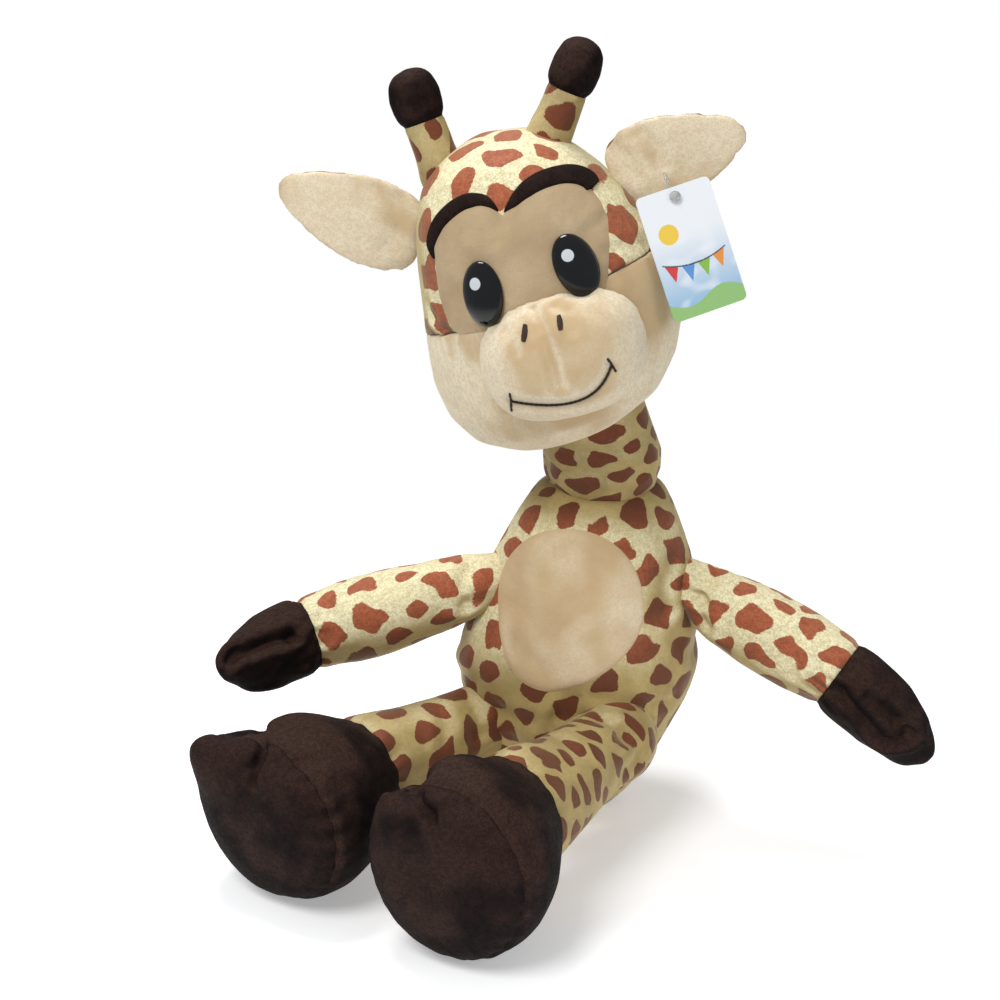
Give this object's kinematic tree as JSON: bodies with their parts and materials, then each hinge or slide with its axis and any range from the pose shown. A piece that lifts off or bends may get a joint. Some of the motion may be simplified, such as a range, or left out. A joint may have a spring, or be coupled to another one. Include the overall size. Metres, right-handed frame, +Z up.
{
  "type": "plush giraffe",
  "caption": "Seated stuffed giraffe with long floppy limbs, ball-seated neck and head, spotted plush, padded hooves and horns, and a hang tag on one ear.",
  "frame": {"origin": "centre of the flat under the seat, on the surface the toy sits on", "axes": "+Z up, the toy faces -Y, its own left side is at +X"},
  "size_m": [0.3914, 0.3562, 0.4313],
  "materials": {
    "spotted": "short-pile plush, cream ground with rust-brown spots",
    "beige": "short crushed-velvet plush, golden beige",
    "brown": "dark chocolate panne velvet",
    "eye": "polished black",
    "washer": "moulded, off-white",
    "thread": "black embroidery thread",
    "card": "coated card, stands in for printed paper",
    "pin": "clear nylon filament"
  },
  "bodies": {
    "torso": {"torso": "spotted", "tummy_patch": "beige"},
    "neck": {"neck": "spotted"},
    "head": {"head_cap": "spotted", "jowls": "beige", "face_mask": "beige", "muzzle": "beige", "brow_right": "brown", "brow_left": "brown", "eye_right": "eye", "eye_left": "eye", "eye_washer_right": "washer", "eye_washer_left": "washer", "nostril_right": "brown", "nostril_left": "brown", "mouth_stitch": "thread"},
    "tail": {"tail": "spotted", "tail_tuft": "brown"},
    "tag": {"hang_tag": "card"},
    "arm_right": {"arm_right": "spotted", "hand_right": "brown"},
    "leg_right": {"leg_right": "spotted", "foot_right": "brown", "sole_right": "brown"},
    "horn_right": {"horn_stem_right": "spotted", "horn_tip_right": "brown"},
    "ear_right": {"ear_lining_right": "beige", "ear_back_right": "spotted"},
    "arm_left": {"arm_left": "spotted", "hand_left": "brown"},
    "leg_left": {"leg_left": "spotted", "foot_left": "brown", "sole_left": "brown"},
    "horn_left": {"horn_stem_left": "spotted", "horn_tip_left": "brown"},
    "ear_left": {"ear_lining_left": "beige", "ear_back_left": "spotted", "tag_pin": "pin"}
  },
  "joints": [
    {"name": "neck_lean", "type": "hinge", "parent": "torso", "child": "neck", "pos_m": [0.021, 0.004, 0.2035], "axis": [0, 1, 0], "range_deg": [-12, 12], "stiffness_Nm_per_rad": 2.5},
    {"name": "head_nod", "type": "hinge", "parent": "neck", "child": "head", "pos_m": [0.01128, -0.00388, 0.24673], "axis": [0.9474, -0.0996, 0.304], "range_deg": [-14, 14], "stiffness_Nm_per_rad": 1.5},
    {"name": "shoulder_right", "type": "hinge", "parent": "torso", "child": "arm_right", "pos_m": [-0.03596, -0.0026, 0.13572], "axis": [-0.1857, 0.9826, 0], "range_deg": [-16, 25], "stiffness_Nm_per_rad": 0.5},
    {"name": "hip_right", "type": "hinge", "parent": "torso", "child": "leg_right", "pos_m": [-0.04029, -0.00946, 0.05536], "axis": [-0.6561, 0.7547, 0], "range_deg": [-15, 14], "stiffness_Nm_per_rad": 1.2},
    {"name": "horn_flex_right", "type": "hinge", "parent": "head", "child": "horn_right", "pos_m": [-0.06481, -0.00996, 0.36031], "axis": [0.1045, 0.9945, 0], "range_deg": [-12, 12], "stiffness_Nm_per_rad": 0.04},
    {"name": "ear_fold_right", "type": "hinge", "parent": "head", "child": "ear_right", "pos_m": [-0.08004, -0.01037, 0.32711], "axis": [0.345, -0.0363, 0.9379], "range_deg": [-20, 20], "stiffness_Nm_per_rad": 0.03},
    {"name": "shoulder_left", "type": "hinge", "parent": "torso", "child": "arm_left", "pos_m": [0.06672, -0.00361, 0.13376], "axis": [-0.5432, -0.8396, 0], "range_deg": [-16, 25], "stiffness_Nm_per_rad": 0.5},
    {"name": "hip_left", "type": "hinge", "parent": "torso", "child": "leg_left", "pos_m": [0.02875, -0.04586, 0.0583], "axis": [-0.8387, 0.5446, 0], "range_deg": [-15, 14], "stiffness_Nm_per_rad": 1.2},
    {"name": "horn_flex_left", "type": "hinge", "parent": "head", "child": "horn_left", "pos_m": [-0.01172, -0.01554, 0.37734], "axis": [0.1045, 0.9945, 0], "range_deg": [-12, 12], "stiffness_Nm_per_rad": 0.04},
    {"name": "ear_fold_left", "type": "hinge", "parent": "head", "child": "ear_left", "pos_m": [0.02607, -0.02152, 0.36117], "axis": [-0.3515, 0.037, 0.9354], "range_deg": [0, 20], "stiffness_Nm_per_rad": 0.03},
    {"name": "tag_swing", "type": "hinge", "parent": "ear_left", "child": "tag", "pos_m": [0.05215, -0.0489, 0.35456], "axis": [0.1815, -0.9548, 0.2356], "range_deg": [0, 30]},
    {"name": "tail_lift", "type": "hinge", "parent": "torso", "child": "tail", "pos_m": [0.00279, 0.04611, 0.026], "axis": [1, 0, 0], "range_deg": [-4, 22], "stiffness_Nm_per_rad": 0.03}
  ]
}
